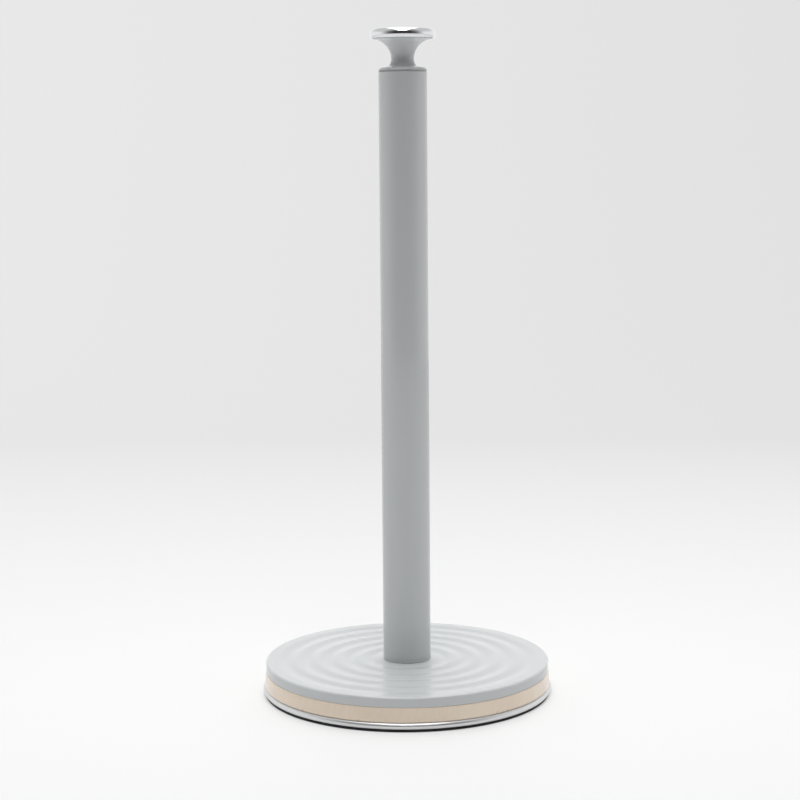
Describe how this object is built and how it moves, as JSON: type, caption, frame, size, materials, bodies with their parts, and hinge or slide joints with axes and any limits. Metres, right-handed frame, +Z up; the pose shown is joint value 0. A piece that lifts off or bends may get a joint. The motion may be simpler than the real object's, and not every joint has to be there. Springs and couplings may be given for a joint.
{
  "type": "paper towel holder",
  "caption": "Upright paper towel holder: round weighted base with a rippled painted top and a wooden band, plain tube that carries the roll, flared knob with a bright cap that unscrews.",
  "frame": {"origin": "on the floor under the middle of the base", "axes": "+Z up along the tube; the holder is round about Z"},
  "size_m": [0.158, 0.158, 0.3594],
  "materials": {
    "grey_paint": "gloss enamel, cool light grey",
    "light_wood": "pale, fine grained, clear lacquer",
    "chrome": "polished plate",
    "cast_iron": "as cast",
    "zinc_steel": "zinc plated",
    "black_rubber": "matt, finely textured",
    "grey_nylon": "matt"
  },
  "bodies": {
    "stand": {"anti_slip_mat": "black_rubber", "base_pan": "chrome", "trim_band": "light_wood", "base_cover": "grey_paint", "ballast_disc": "cast_iron", "plate_screw_1": "zinc_steel", "plate_screw_2": "zinc_steel", "plate_screw_3": "zinc_steel", "plate_screw_4": "zinc_steel", "centre_bolt": "zinc_steel", "bolt_flat_washer": "zinc_steel", "bolt_spring_washer": "zinc_steel", "bottom_plug": "grey_paint", "post_tube": "grey_paint", "top_plug": "zinc_steel"},
    "seal": {"knob_washer": "grey_nylon"},
    "knob": {"knob_stud": "zinc_steel", "finial_knob": "grey_paint", "knob_cap": "chrome"}
  },
  "joints": [
    {"name": "knob_lift", "type": "slide", "parent": "stand", "child": "seal", "axis": [0, 0, 1], "range_m": [0, 0.012]},
    {"name": "knob_turn", "type": "hinge", "parent": "seal", "child": "knob", "pos_m": [0, 0, 0.3369], "axis": [0, 0, 1], "range_deg": [0, 4320]}
  ],
  "couplings": [
    {"joint": "knob_turn", "follows": "knob_lift", "rad_per_m": 6283.2}
  ]
}
